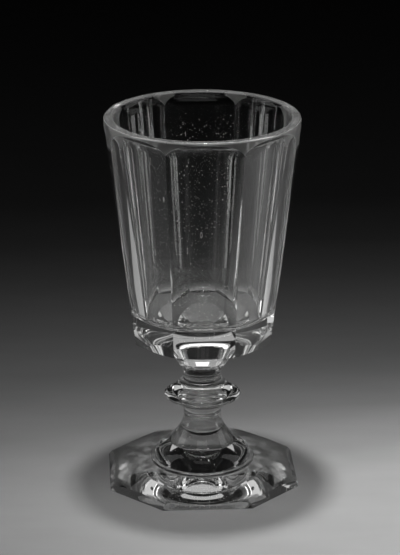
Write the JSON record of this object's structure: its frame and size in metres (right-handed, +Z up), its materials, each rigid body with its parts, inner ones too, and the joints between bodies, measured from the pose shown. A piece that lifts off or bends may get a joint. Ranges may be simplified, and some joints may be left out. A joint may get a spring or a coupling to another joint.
{
  "type": "faceted goblet",
  "caption": "Clear glass drinking goblet: a tall faceted bowl with a thick base and a round lip, on a knopped stem with a domed lower part and an octagonal cut foot.",
  "frame": {"origin": "on the table, under the middle of the foot", "axes": "+Z up along the stem; -Y towards the viewer, square to the bowl's front panel within 1.6 degrees"},
  "size_m": [0.0772, 0.0772, 0.15],
  "materials": {
    "bowl_glass": "clear glass, cut panels polished",
    "stem_glass": "clear glass, fire polished",
    "foot_glass": "clear glass, cut edges polished"
  },
  "bodies": {
    "root": {"foot": "foot_glass", "lower_stem": "stem_glass", "ring_knop": "stem_glass", "merese": "stem_glass", "bowl": "bowl_glass"}
  },
  "joints": []
}
